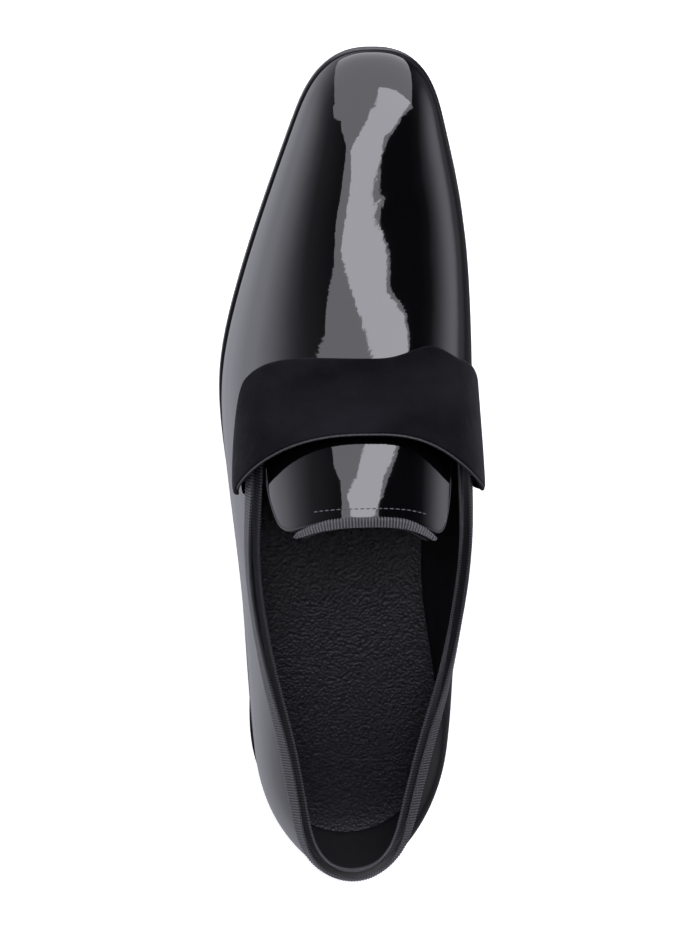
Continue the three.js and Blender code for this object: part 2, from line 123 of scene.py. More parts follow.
# Sections of the last in even steps from heel to toe; the columns are explained in the part's source
TOE_FAN = 0.69
HEEL_FAN = 0.22
COLLAR_CLIMB = 0.37
SECTION_COLUMNS = (
    "heel_part", "ball_part", "middle", "ridge", "rise",
    "lift", "spring", "fullness", "pinch", "lateral_tuck", "medial_tuck",
)
SECTIONS = np.array([
    [0.500, 0.000, 0.000, 0.000, 1.25, 1.02, 0.00, 0.75, 0.08, 0.10, 0.10],
    [0.522, 0.000, 0.010, 0.000, 1.15, 0.98, 0.00, 0.62, 0.36, 0.10, 0.11],
    [0.565, 0.010, 0.022, 0.010, 0.90, 0.88, 0.00, 0.60, 0.26, 0.09, 0.16],
    [0.280, 0.240, 0.018, 0.030, 1.05, 0.68, 0.00, 0.78, 0.10, 0.08, 0.32],
    [0.080, 0.418, 0.012, 0.038, 1.15, 0.40, 0.00, 0.76, 0.00, 0.08, 0.40],
    [0.000, 0.505, -0.002, 0.038, 1.00, 0.12, 0.00, 0.76, 0.00, 0.06, 0.24],
    [0.000, 0.512, -0.016, 0.040, 0.70, -0.03, 0.00, 0.80, 0.00, 0.03, 0.09],
    [0.000, 0.466, 0.012, 0.048, 0.32, -0.03, 0.00, 0.74, 0.00, 0.03, 0.05],
    [0.000, 0.402, 0.045, 0.056, 0.08, 0.00, 0.12, 0.66, 0.00, 0.04, 0.04],
    [0.000, 0.302, 0.058, 0.064, -0.06, 0.00, 0.45, 0.64, 0.00, 0.04, 0.04],
    [0.000, 0.200, 0.070, 0.070, -0.20, 0.00, 1.00, 0.64, 0.00, 0.04, 0.04],
])
COLLAR = np.array([1.0, 0.92, 0.835, 0.80, 0.82, 0.87, 0.72])

# Camera: angles of the view, in radians from straight above, and what it looks at, millimetres
CAMERA_TILT = 0.33506
CAMERA_SIDE = 0.06833
CAMERA_ROLL = -0.01483
CAMERA_TARGET = np.array([-0.458, 6.867, 40.0])
CAMERA_DISTANCE = 700
FOCAL_PIXELS = 1951.8
PHOTO_WIDTH = 700
SENSOR_WIDTH = 36

# Studio: brightness of the surroundings from left to right and from below to above
WORLD_BY_SIDE = (
    (0.0, 1.0), (0.10, 0.60), (0.30, 0.27), (0.45, 0.13),
    (0.58, 0.03), (0.82, 0.02), (0.92, 0.12), (1.0, 0.8),
)
WORLD_BY_HEIGHT = ((0.0, 1.0), (0.30, 0.9), (0.48, 0.6), (0.62, 0.32), (0.75, 0.16), (1.0, 0.1))
WORLD_STRENGTH = 2.8
FLOOR_REACH = 6.0
FLOOR_GLOW = 0.78

# Softbox cards: outlines in metres, as pairs of how far right and how far forward, and their light.
# The front card's pairs are how far right and how high, as it stands upright.
CARD_HEIGHT = 1.0
BRIGHT_CARD_DROP = 0.01
WIDE_CARD = (
    (0.10, 0.15), (-0.34, 0.15), (-0.34, 0.62), (-0.52, 0.74), (-0.60, 0.90), (-1.10, 1.10), (-1.45, 1.50),
    (1.90, 1.50), (0.70, 0.95), (0.24, 0.64), (0.12, 0.50),
)
WIDE_CARD_LIGHT = 3.2
BRIGHT_CARD = (
    (0.06, 0.15), (-0.02, 0.30), (-0.16, 0.45), (-0.22, 0.56), (-0.06, 0.66), (0.04, 0.80), (0.12, 1.00),
    (0.20, 1.50), (1.60, 1.50), (0.58, 0.90), (0.42, 0.80), (0.19, 0.66), (0.13, 0.52), (0.08, 0.42),
)
BRIGHT_CARD_LIGHT = 9.0
CARD_TINT = (0.93, 0.92, 1.0, 1)
FRONT_CARD_REACH = 1.5
FRONT_CARD = ((-1.30, 1.0), (-0.80, -1.5), (0.95, -1.5), (1.70, 1.0))

# Ribs of the ribbons: millimetres, steps of the mesh to a rib, and the exponent of a rib's section
RIB_PITCH = 1.05
RIB_HEIGHT = 0.34
RIB_SAMPLES = 6
RIB_ROUNDNESS = 0.7
# Name of the attribute that holds how close each point is to a rib's crest; the ribbon's colour reads it
# for a painted highlight on the crests and painted shade between the ribs.
RIB_SHADE_ATTRIBUTE = "rib"

# Fine detail of the tongue and the strap: lengths in millimetres, spans, rows and the taper in shares
TONGUE_RIBBON_SPAN = (0.12, 0.90)
TONGUE_RIBBON_SINK = 2.2
TONGUE_RIBBON_TAPER = 0.25
TONGUE_BEAD_START = 0.2
TONGUE_BEAD_INSET = 0.008
BEAD_RADIUS = 0.7
BEAD_DROP = 0.6
BEAD_STEP = 0.4
BEAD_SMOOTHING = 40
TONGUE_STITCH_SPAN = (0.26, 0.82)
TONGUE_STITCH_ROW = 0.905
STITCH_PITCH = 2.0
STITCH_LENGTH = 1.6
STITCH_RADIUS = 0.22
STITCH_STEP = 0.1
STRAP_EDGE_SPAN = (0.03, 0.97)
STRAP_EDGE_RADIUS = 0.42
STRAP_EDGE_STEP = 0.35
STRAP_EDGE_RIPPLE = 3.8
STRAP_EDGE_SWELL = 0.22
STRAP_EDGE_PLACE = 0.62
STRAP_EDGE_FADE = 4
EDGE_ROUNDING = 0.9

# Padded sock and the seam at the foot of the upper, millimetres; the seam's width is a share of the climb
SOCK_CUP = 1.6
FEATHER_DEPTH = 0.7
FEATHER_CLIMB = 0.03

# Meshes: sharp edges in degrees, and lengths in millimetres
SHARP_ANGLE = 55
MERGE_DISTANCE = 2e-3
SLIVER_LENGTH = 1e-4

# Step of turn and of climb over which slopes of the last are measured
SLOPE_STEP = 1e-3


def spline(values, share):
    """Cubic B-spline through a row of evenly spaced control values."""
    ends = [2 * values[0] - values[1]], [2 * values[-1] - values[-2]]
    control = np.concatenate([ends[0], values, ends[1]])
    last = len(values) - 1
    place = np.clip(share, 0, 1) * last
    cell = np.minimum(np.floor(place), last - 1).astype(int)
    t = place - cell
    weights = ((1 - t) ** 3, 3 * t ** 3 - 6 * t ** 2 + 4, -3 * t ** 3 + 3 * t ** 2 + 3 * t + 1, t ** 3)
    return sum(weight * control[cell + step] for step, weight in enumerate(weights)) / 6


def section(name, y):
    return spline(SECTIONS[:, SECTION_COLUMNS.index(name)], y / SHOE_LENGTH)


def half_width(y):
    heel = np.clip((HEEL_ROUND - y) / HEEL_ROUND, 0, 1)
    toe = np.clip((y - SHOE_LENGTH + TOE_ROUND) / TOE_ROUND, 0, 1)
    rounding = np.sqrt(1 - heel ** HEEL_BLUNTNESS) * (1 - toe ** TOE_BLUNTNESS) ** TOE_FULLNESS
    return (section("heel_part", y) * HEEL_WIDTH + section("ball_part", y) * BALL_WIDTH) * rounding


def axis_y(y):
    """Where the section line that starts at y on the outline ends on the shoe's axis."""
    toe_start = TOE_FAN * SHOE_LENGTH
    toe_reach = SHOE_LENGTH - toe_start
    heel_reach = HEEL_FAN * SHOE_LENGTH
    toe = (y - toe_start) / toe_reach
    heel = (heel_reach - y) / heel_reach
    at_toe = toe_start + toe_reach * (toe - toe * toe / 2)
    at_heel = heel_reach * (1 - heel + heel * heel / 2)
    return np.where(y > toe_start, at_toe, np.where(y < heel_reach, at_heel, y))


def ridge_height(y):
    return TOE_HEIGHT + (INSTEP_HEIGHT - TOE_HEIGHT) * section("rise", y)


def sole_top(y):
    return OUTSOLE_THICKNESS + HEEL_LIFT * section("lift", y) + TOE_SPRING * section("spring", y)


def sole_bottom(y):
    return np.maximum(sole_top(y) - OUTSOLE_THICKNESS, 0)


def turn_to_y(turn):
    return SHOE_LENGTH * (1 - np.cos(np.pi * np.abs(turn))) / 2


def y_to_turn(y):
    return np.arccos(np.clip(1 - 2 * y / SHOE_LENGTH, -1, 1)) / np.pi


def upper_point(turn, climb):
    """Outer face of the upper. Turn 0 is the back, 1 or -1 the toe's tip; climb 0 the foot, 1 the ridge."""
    turn, climb = np.broadcast_arrays(np.asarray(turn, float), np.asarray(climb, float))
    over = climb > 1
    turn = np.where(over, -turn, turn)
    climb = np.where(over, 2 - climb, climb)
    turn = np.where(turn > 1, turn - 2, np.where(turn < -1, turn + 2, turn))
    y = turn_to_y(turn)
    side = np.where(turn < 0, -1.0, 1.0)
    angle = climb * np.pi / 2
    out = np.maximum(np.cos(angle), 0) ** section("fullness", y)
    tuck = np.where(side < 0, section("lateral_tuck", y), section("medial_tuck", y))
    closing = section("pinch", y) * (np.maximum(climb, 0) / COLLAR_CLIMB) ** PINCH_GROWTH
    reach = out * (1 - tuck * np.maximum(1 - climb, 0) ** TUCK_GROWTH) * (1 - closing)
    centre = axis_y(y)
    ridge_x = section("ridge", centre) * BALL_WIDTH
    shift = (section("middle", y) * BALL_WIDTH - ridge_x) * np.cos(angle) ** 2
    foot = sole_top(y) + FIT_GAP
    along = centre + (y - centre) * reach
    crest = ridge_height(np.where(y < THROAT, centre, along))
    return np.stack([
        ridge_x + shift + side * half_width(y) * reach,
        along,
        foot + (crest - foot) * np.sin(angle),
    ], -1)


def unit(vectors):
    return vectors / np.maximum(np.linalg.norm(vectors, axis=-1, keepdims=True), 1e-9)


def along_wall(turn, climb):
    return unit(upper_point(turn, climb + SLOPE_STEP) - upper_point(turn, climb - SLOPE_STEP))


def upper_normal(turn, climb):
    along = upper_point(turn + SLOPE_STEP, climb) - upper_point(turn - SLOPE_STEP, climb)
    return unit(np.cross(along, along_wall(turn, climb)))


def collar_climb(y):
    foot = sole_top(y) + FIT_GAP
    share = (COLLAR_HEIGHT * spline(COLLAR, y / THROAT) - foot) / (ridge_height(axis_y(y)) - foot)
    return np.arcsin(np.minimum(share, 1)) * 2 / np.pi


THROAT_TURN = y_to_turn(THROAT)
THROAT_CLIMB = collar_climb(THROAT)


def plate_point(turn, share, grow):
    """A point of a plate under the foot; share 0 is its outline, moved outwards by grow, 1 the axis."""
    outward = upper_normal(turn, 0 * turn) * (1, 1, 0)
    edge = upper_point(turn, 0 * turn) + unit(outward) * np.asarray(grow)[..., None]
    centre = axis_y(turn_to_y(turn))
    axis = np.stack([section("middle", centre) * BALL_WIDTH, centre, 0 * centre], -1)
    return edge + (axis - edge) * np.asarray(share)[..., None]


def row_shift():
    """The row's frame on the last: where the last's origin lies, read from the outsole's box."""
    ring = plate_point(np.linspace(-1, 1, 401), 0.0, SOLE_EDGE)
    low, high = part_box("outsole")
    middle = (np.array(low) + np.array(high)) / 2 / MM
    shift = middle - (ring.min(0) + ring.max(0)) / 2
    return shift * (1, 1, 0)


ROW_SHIFT = row_shift()


# Materials

def new_material(name, color, roughness, **sockets):
    material = bpy.data.materials.new(name)
    material.use_nodes = True
    shader = material.node_tree.nodes["Principled BSDF"]
    shader.inputs["Base Color"].default_value = (*color, 1)
    shader.inputs["Roughness"].default_value = roughness
    for socket, value in sockets.items():
        shader.inputs[socket.replace("_", " ")].default_value = value
    return material


def add_node(material, kind, **values):
    node = material.node_tree.nodes.new(kind)
    for name, value in values.items():
        if hasattr(node, name):
            setattr(node, name, value)
        else:
            node.inputs[name.replace("_", " ")].default_value = value
    return node


def link(material, out_node, out_name, in_node, in_name):
    material.node_tree.links.new(out_node.outputs[out_name], in_node.inputs[in_name])


def texture(material, kind, scale, stretch=(1, 1, 1), **values):
    """A texture on the object's own coordinates; scale counts features to the metre."""
    place = add_node(material, "ShaderNodeTexCoord")
    mapping = add_node(material, "ShaderNodeMapping")
    mapping.inputs["Scale"].default_value = stretch
    link(material, place, "Object", mapping, "Vector")
    node = add_node(material, kind, Scale=scale, **values)
    link(material, mapping, "Vector", node, "Vector")
    return node


def add_bump(material, source, output, distance, strength=1.0):
    """Stacks a bump of a height in millimetres on whatever bump the shader has already."""
    shader = material.node_tree.nodes["Principled BSDF"]
    bump = add_node(material, "ShaderNodeBump", Strength=strength, Distance=distance * MM)
    link(material, source, output, bump, "Height")
    before = shader.inputs["Normal"].links
    if before:
        material.node_tree.links.new(before[0].from_socket, bump.inputs["Normal"])
    link(material, bump, "Normal", shader, "Normal")
    return bump


def vary_color(material, source, output, dark, light, low=0.35, high=0.65):
    shader = material.node_tree.nodes["Principled BSDF"]
    ramp = add_node(material, "ShaderNodeValToRGB")
    ramp.color_ramp.elements[0].position = low
    ramp.color_ramp.elements[0].color = (*dark, 1)
    ramp.color_ramp.elements[1].position = high
    ramp.color_ramp.elements[1].color = (*light, 1)
    link(material, source, output, ramp, "Fac")
    link(material, ramp, "Color", shader, "Base Color")


def vary_roughness(material, source, output, low, high):
    shader = material.node_tree.nodes["Principled BSDF"]
    spread = add_node(material, "ShaderNodeMapRange")
    spread.inputs["To Min"].default_value = low
    spread.inputs["To Max"].default_value = high
    link(material, source, output, spread, "Value")
    link(material, spread, "Result", shader, "Roughness")


def patent_material():
    patent = new_material("patent_leather", (0.0016, 0.0016, 0.002), 0.035, IOR=1.5)
    swell = texture(patent, "ShaderNodeTexNoise", 55, Detail=2.0)
    vary_roughness(patent, swell, "Fac", 0.03, 0.045)
    add_bump(patent, swell, "Fac", 0.22, 0.5)
    peel = texture(patent, "ShaderNodeTexNoise", 480, Detail=2.0)
    add_bump(patent, peel, "Fac", 0.02, 0.6)
    return patent


def velvet_material():
    velvet = new_material(
        "velvet", (0.004, 0.004, 0.006), 0.95,
        Sheen_Weight=0.07, Sheen_Roughness=0.3, Sheen_Tint=(0.62, 0.62, 0.72, 1),
        Specular_IOR_Level=0.1)
    brushed = texture(velvet, "ShaderNodeTexNoise", 38, stretch=(0.7, 1.3, 1), Detail=6.0)
    vary_color(velvet, brushed, "Fac", (0.001, 0.001, 0.002), (0.006, 0.006, 0.008))
    pile = texture(velvet, "ShaderNodeTexNoise", 2200, Detail=3.0)
    add_bump(velvet, pile, "Fac", 0.3, 0.8)
    nap = texture(velvet, "ShaderNodeTexNoise", 240, stretch=(1, 0.4, 1), Detail=4.0)
    add_bump(velvet, nap, "Fac", 0.35, 0.6)
    return velvet


def ribbon_material():
    ribbon = new_material(
        "ribbed_ribbon", (0.02, 0.02, 0.024), 0.6,
        Sheen_Weight=0.1, Sheen_Roughness=0.4, Sheen_Tint=(0.7, 0.72, 0.8, 1))
    # Painted highlight and painted shade: the colour runs from near black between the ribs to a lighter
    # grey on their crests, as light would fall on them.
    ribs = add_node(ribbon, "ShaderNodeAttribute", attribute_name=RIB_SHADE_ATTRIBUTE)
    vary_color(ribbon, ribs, "Fac", (0.0012, 0.0012, 0.0016), (0.06, 0.06, 0.068), 0.3, 0.95)
    yarn = texture(ribbon, "ShaderNodeTexNoise", 1900, Detail=3.0)
    add_bump(ribbon, yarn, "Fac", 0.08, 0.6)
    return ribbon


def sock_material():
    sock = new_material("pebbled_sock", (0.008, 0.008, 0.01), 0.52, Specular_IOR_Level=0.4)
    pebbles = texture(
        sock, "ShaderNodeTexVoronoi", 880, feature="SMOOTH_F1", Smoothness=0.3, Randomness=1.0)
    grain = texture(sock, "ShaderNodeTexNoise", 600, Detail=5.0)
    vary_color(sock, grain, "Fac", (0.0045, 0.0045, 0.0065), (0.011, 0.011, 0.0145))
    add_bump(sock, grain, "Fac", 0.09, 0.6)
    add_bump(sock, pebbles, "Distance", 0.36, 0.9).invert = True
    return sock


def plain_leather(name, color, roughness, grain_size, grain_height):
    leather = new_material(name, color, roughness)
    grain = texture(leather, "ShaderNodeTexNoise", 1 / (grain_size * MM), Detail=4.0)
    lighter = tuple(1.6 * value for value in color)
    vary_color(leather, grain, "Fac", color, lighter)
    vary_roughness(leather, grain, "Fac", roughness * 0.85, min(roughness * 1.15, 1))
    add_bump(leather, grain, "Fac", grain_height, 0.6)
    return leather


def floor_material():
    floor = new_material(
        "studio_floor", (0.8, 0.8, 0.81), 0.9,
        Emission_Color=(1, 1, 1, 1), Emission_Strength=FLOOR_GLOW)
    mottle = texture(floor, "ShaderNodeTexNoise", 3)
    vary_color(floor, mottle, "Fac", (0.80, 0.80, 0.81), (0.82, 0.82, 0.83))
    return floor


PATENT = patent_material()
VELVET = velvet_material()
RIBBON = ribbon_material()
SOCK = sock_material()
LINING = plain_leather("lining_leather", (0.006, 0.006, 0.007), 0.45, 0.9, 0.05)
SOLE = plain_leather("dressed_sole_edge", (0.005, 0.005, 0.006), 0.3, 1.4, 0.04)
RUBBER = plain_leather("heel_rubber", (0.013, 0.013, 0.014), 0.62, 0.7, 0.05)
THREAD = plain_leather("waxed_thread", (0.06, 0.06, 0.066), 0.35, 0.4, 0.03)
BACKING = plain_leather("velvet_backing", (0.022, 0.022, 0.025), 0.7, 0.35, 0.08)
FLOOR = floor_material()


# Meshes

def mesh_of(name, grids, materials, solid=True):
    """Joins grids of points on the last into one smooth mesh; edges that meet are merged."""
    vertices = []
    faces = []
    for points in grids:
        rows, columns = points.shape[:2]
        index = len(vertices) + np.arange(rows * columns).reshape(rows, columns)
        quads = np.stack([index[:-1, :-1], index[1:, :-1], index[1:, 1:], index[:-1, 1:]], -1)
        vertices.extend(((points + ROW_SHIFT) * MM).reshape(-1, 3).tolist())
        faces.extend(quads.reshape(-1, 4).tolist())
    mesh = bpy.data.meshes.new(name)
    mesh.from_pydata(vertices, [], faces)
    work = bmesh.new()
    work.from_mesh(mesh)
    bmesh.ops.remove_doubles(work, verts=work.verts, dist=MERGE_DISTANCE * MM)
    bmesh.ops.dissolve_degenerate(work, edges=work.edges, dist=SLIVER_LENGTH * MM)
    if solid:
        bmesh.ops.recalc_face_normals(work, faces=work.faces)
    work.to_mesh(mesh)
    work.free()
    mesh.shade_smooth()
    mesh.set_sharp_from_angle(angle=math.radians(SHARP_ANGLE))
    piece = bpy.data.objects.new(name, mesh)
    bpy.context.scene.collection.objects.link(piece)
    for material in materials:
        mesh.materials.append(material)
    return piece


def settle(piece, slot, *nodes):
    """Puts a finished piece on the shoe, in place of its solid where it has one."""
    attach(piece, "root")
    if nodes:
        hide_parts(*nodes)
    return piece


def grid(rows, columns, point_at):
    row, column = np.meshgrid(rows, columns, indexing="ij")
    return point_at(row, column)


# Soft forms on the upper: turn and climb of the middle, its half sizes along both, height in mm
SOFT_FORMS = (
    (0.790, 0.84, 0.020, 0.10, 0.16),
    (0.745, 0.86, 0.018, 0.08, -0.15),
    (0.700, 0.84, 0.016, 0.10, 0.15),
    (0.660, 0.88, 0.014, 0.08, -0.12),
    (0.625, 0.84, 0.016, 0.10, 0.12),
    (-0.700, 0.70, 0.050, 0.12, 0.10),
    (-0.560, 0.45, 0.050, 0.14, -0.25),
    (0.560, 0.45, 0.050, 0.14, -0.25),
    (0.300, 0.16, 0.060, 0.10, -0.30),
    (-0.300, 0.16, 0.060, 0.10, -0.30),
)


def relief(turn, climb):
    """How far the leather stands off the last's smooth face, millimetres."""
    over = climb > 1
    turn = np.where(over, -turn, turn)
    climb = np.where(over, 2 - climb, climb)
    height = -FEATHER_DEPTH * np.exp(-(climb / FEATHER_CLIMB) ** 2)
    for at_turn, at_climb, turn_reach, climb_reach, rise in SOFT_FORMS:
        far = ((turn - at_turn) / turn_reach) ** 2 + ((climb - at_climb) / climb_reach) ** 2
        height = height + rise * np.exp(-far)
    return height


def leather_point(turn, climb):
    return upper_point(turn, climb) + upper_normal(turn, climb) * relief(turn, climb)[..., None]


def make_upper():
    rear_turns = np.linspace(-THROAT_TURN, THROAT_TURN, 261)
    front_turns = np.linspace(THROAT_TURN, 1, 131)
    wall = np.linspace(0, 1, 41)

    def rear(turn, step):
        return leather_point(turn, step * collar_climb(turn_to_y(turn)))

    over_vamp = THROAT_CLIMB + (1 - THROAT_CLIMB) * np.linspace(0, 1, 61)[1:]
    climbs = np.concatenate([wall * THROAT_CLIMB, over_vamp])
    climbs = np.concatenate([climbs, 2 - climbs[-2::-1]])
    upper = mesh_of("upper_shell", [
        grid(rear_turns, wall, rear),
        grid(front_turns, climbs, leather_point),
    ], [PATENT, LINING], solid=False)
    wall_modifier = upper.modifiers.new("wall", "SOLIDIFY")
    wall_modifier.thickness = UPPER_WALL * MM
    wall_modifier.offset = -1
    wall_modifier.material_offset = 1
    wall_modifier.material_offset_rim = 1
    settle(bake_modifiers(upper), "patent", "upper")


def bake_modifiers(piece):
    graph = bpy.context.evaluated_depsgraph_get()
    mesh = bpy.data.meshes.new_from_object(piece.evaluated_get(graph))
    piece.modifiers.clear()
    piece.data = mesh
    mesh.set_sharp_from_angle(angle=math.radians(SHARP_ANGLE))
    return piece


# Plates under the foot

def shell_of_profile(name, turns, profile, height_at, materials):
    """A plate whose section runs from the axis over its top, round its edge and back underneath.
    The profile's rows are share, grow and depth, the depth being 0 on top and 1 underneath."""
    turn, step = np.meshgrid(turns, np.arange(len(profile)), indexing="ij")
    share, grow, depth = (profile[step, column] for column in range(3))
    points = plate_point(turn, share, grow)
    points[..., 2] = height_at(points[..., 1], depth, share)
    return mesh_of(name, [points], materials)


def edge_profile(shares, edge):
    top = [(share, edge[0][0], 0.0) for share in shares]
    bottom = [(share, edge[-1][0], 1.0) for share in shares[::-1]]
    return np.array(top + [(0.0, grow, depth) for grow, depth in edge] + bottom)


def make_outsole():
    edge = [(SOLE_EDGE - inset, depth) for inset, depth in (
        (0.55, 0.0), (0.18, 0.05), (0.02, 0.14), (0.0, 0.26), (0.0, 0.36), (0.22, 0.40), (0.22, 0.43),
        (0.0, 0.47), (0.0, 0.62), (0.03, 0.78), (0.12, 0.9), (0.35, 0.97), (0.7, 1.0),
    )]
    profile = edge_profile([1, 0.75, 0.5, 0.25, 0.1, 0.04, 0.01], edge)

    def height(y, depth, share):
        return sole_top(y) + (sole_bottom(y) - sole_top(y)) * depth

    outsole = shell_of_profile("outsole_dressed", np.linspace(-1, 1, 361), profile, height, [SOLE])
    settle(outsole, "sole", "outsole")


def make_insole():
    seat_gap = -UPPER_WALL - FIT_GAP
    edge = [(seat_gap, 0.0), (seat_gap - 0.05, 0.3), (seat_gap - 0.1, 1.0)]
    profile = edge_profile([1, 0.9, 0.8, 0.7, 0.6, 0.5, 0.4, 0.3, 0.22, 0.15, 0.1, 0.06, 0.03, 0.01], edge)

    def height(y, depth, share):
        cup = SOCK_CUP * (1 - np.clip(share, 0, 1)) ** 6
        return sole_top(y) + FIT_GAP + (INSOLE_THICKNESS + cup) * (1 - depth)

    insole = shell_of_profile("sock_and_insole", np.linspace(-1, 1, 301), profile, height, [SOCK])
    settle(insole, "sock", "insole")


def heel_loop(inset, samples=40):
    """The heel's outline at one height, drawn in by inset: round the back and across the breast."""
    to_breast = np.linspace(0, 1, samples)
    row = np.concatenate([np.linspace(1, 0, samples), to_breast[1:], np.ones(samples)[1:-1]])
    side = np.concatenate([-np.ones(samples), np.ones(samples - 1), np.linspace(1, -1, samples)[1:-1]])
    y = inset + (HEEL_LENGTH - inset) * (1 - np.cos(row * np.pi / 2))
    outline = np.abs(plate_point(y_to_turn(y - inset), 0.0, SOLE_EDGE)[:, 0]) - inset
    half = np.where(row > 0, np.maximum(outline, 0), 0)
    hollow = BREAST_HOLLOW * (1 - side * side) * row ** BREAST_GROWTH
    return np.stack([side * half, y - hollow, 0 * y], -1)


def heel_taper(height):
    return HEEL_TAPER * (1 - np.minimum(height / HEEL_LIFT, 1))


def make_heel_layer(name, bottom, top, steps, materials, slot, node):
    """A layer of the heel. The steps are pairs of share of height and inset in millimetres."""
    loops = []
    plain = heel_loop(0.0)
    for share, inset in steps:
        height = bottom + (top(plain[:, 1]) - bottom) * share
        loop = np.array([heel_loop(value)[index] for index, value in enumerate(heel_taper(height) + inset)])
        loop[:, 2] = height
        loops.append(loop)
    middle = [loop.mean(0) for loop in loops]
    cap_low = np.repeat(middle[0][None], len(loops[0]), 0)
    cap_high = np.repeat(middle[-1][None], len(loops[0]), 0)
    points = np.stack([cap_low, *loops, cap_high], 1)
    points = np.concatenate([points, points[:1]], 0)
    settle(mesh_of(name, [points], materials), slot, node)


def make_heel():
    layers = 4
    steps = [(0.0, 0.3), (0.004, 0.08), (0.02, 0.0)]
    for layer in range(1, layers):
        at = layer / layers
        steps += [(at - 0.022, 0.0), (at - 0.006, 0.16), (at + 0.006, 0.16), (at + 0.022, 0.0)]
    steps += [(0.98, 0.0), (1.0, 0.1)]
    make_heel_layer(
        "heel_stack", TOP_LIFT + FIT_GAP, lambda y: sole_bottom(y) - FIT_GAP, steps,
        [SOLE], "sole", "heel_block")
    lift_steps = [(0.0, 0.45), (0.06, 0.12), (0.16, 0.0), (0.5, 0.0), (0.9, 0.0), (0.97, 0.1), (1.0, 0.3)]
    make_heel_layer(
        "heel_wear_layer", 0.0, lambda y: TOP_LIFT + 0 * y, lift_steps, [RUBBER], "rubber", "heel_top_lift")


# Bands over the instep

def over_instep(y, across):
    turn = y_to_turn(y) * np.where(across < 0, -1, 1)
    return turn, 1 - np.abs(across)


def rounded_steps(count, length):
    """Steps from 0 to 1 that crowd at both ends, where the edges are rounded."""
    rounded = EDGE_ROUNDING / length
    near = rounded * np.array([0, 0.05, 0.2, 0.45, 0.75])
    inner = np.linspace(rounded, 1 - rounded, count)
    return np.concatenate([near, inner, 1 - near[::-1]])


def edge_height(step, length):
    """How much of the half thickness is left near a rounded edge."""
    near = np.clip(np.minimum(step, 1 - step) * length / EDGE_ROUNDING, 0, 1)
    return np.sqrt(np.maximum(1 - (1 - near) ** 2, 0))


def make_band(name, place, thickness, size, counts, materials):
    """A band laid over the upper's face with rounded edges; size and counts are along its rows and its
    columns.
    """
    rows = rounded_steps(counts[0], size[0])
    columns = rounded_steps(counts[1], size[1])
    row, column = np.meshgrid(rows, columns, indexing="ij")
    y, across, lift = place(row, column)
    turn, climb = over_instep(y, across)
    normal = upper_normal(turn, climb)
    half = thickness / 2 * edge_height(row, size[0]) * edge_height(column, size[1])
    middle = upper_point(turn, climb) + normal * (lift + thickness / 2)[..., None]
    top = middle + normal * half[..., None]
    bottom = middle - normal * half[..., None]
    return mesh_of(name, [top, bottom[:, ::-1]], materials)


def strap_place(row, column):
    side = column * 2 - 1
    along = row * 2 - 1
    end = np.where(side < 0, STRAP_LATERAL_END, STRAP_MEDIAL_END)
    across = side * end * (1 + STRAP_END_SLANT * along) * (1 - STRAP_CORNER * along ** CORNER_CURVE)
    spread = np.abs(across)
    held = np.where(side < 0, spread, STRAP_HOLD * np.tanh(spread / STRAP_HOLD))
    swell = (1 - np.cos(2 * np.pi * np.minimum(spread / STRAP_WAVE_SPAN, 1))) / 2
    wave = np.where(side < 0, 0, STRAP_WAVE * swell)
    front_sweep = np.where(side < 0, STRAP_LATERAL_FRONT_SWEEP, STRAP_MEDIAL_FRONT_SWEEP)
    rear_sweep = np.where(side < 0, STRAP_LATERAL_REAR_SWEEP, STRAP_MEDIAL_REAR_SWEEP)
    front = STRAP_FRONT + wave - front_sweep * spread ** STRAP_FRONT_CURVE
    rear = STRAP_REAR - rear_sweep * held ** STRAP_REAR_CURVE
    share = 0.5 + 0.5 * along * (1 - STRAP_CORNER_LENGTH * side ** STRAP_CORNER_CURVE)
    lift = FIT_GAP + STRAP_RISE * row * (1 - side ** STRAP_CORNER_CURVE)
    return front + (rear - front) * share, across, lift


def tongue_place(row, column):
    side = column * 2 - 1
    breadth = np.where(side < 0, TONGUE_LATERAL, TONGUE_MEDIAL)
    across = side * breadth * (1 - TONGUE_TAPER * row ** TONGUE_TAPER_CURVE)
    corner = TONGUE_CORNER_LENGTH * side ** TONGUE_CORNER_CURVE
    rear = TONGUE_END - TONGUE_SWEEP * side ** 2 + corner
    front = THROAT + TONGUE_LAP
    return front + (rear - front) * row, across, 0 * row - TONGUE_DEPTH - TONGUE_THICKNESS


def make_strap():
    strap = make_band("velvet_strap", strap_place, STRAP_THICKNESS, (26, 105), (40, 150), [VELVET])
    settle(strap, "velvet", "saddle_strap")


def make_tongue():
    tongue = make_band("tongue_pad", tongue_place, TONGUE_THICKNESS, (44, 62), (60, 90), [PATENT])
    settle(tongue, "patent", "tongue")


# Ribbons

def resample(points, spacing):
    lengths = np.concatenate([[0], np.cumsum(np.linalg.norm(np.diff(points, axis=0), axis=1))])
    count = int(lengths[-1] / spacing)
    at = np.linspace(0, lengths[-1], count + 1)
    return np.stack([np.interp(at, lengths, column) for column in points.T], -1), at


def smooth_path(points, passes):
    for _ in range(passes):
        points = points.copy()
        points[1:-1] = (points[:-2] + 2 * points[1:-1] + points[2:]) / 4
    return points


def ribbon_profile(wall):
    """Section of a ribbon of depth 1 folded over an edge: out, up and whether the ribs show there."""
    reach = RIBBON_CLEARANCE + RIBBON_THICKNESS
    fold = np.linspace(0, np.pi, 11)
    middle = -wall / 2
    half = wall / 2
    outer = [(reach, -share, 1) for share in (1, 0.8, 0.6, 0.4, 0.2)]
    outer += [(middle + (half + reach) * math.cos(a), reach * math.sin(a), 1) for a in fold]
    outer += [(-wall - reach, -share, 1) for share in (0.2, 0.4, 0.6, 0.8, 1)]
    inner = [(-wall - RIBBON_CLEARANCE, -1, 0), (-wall - RIBBON_CLEARANCE, 0, 0)]
    inner += [(middle, RIBBON_CLEARANCE, 0), (RIBBON_CLEARANCE, 0, 0), (RIBBON_CLEARANCE, -1, 0)]
    return np.array(outer + inner)


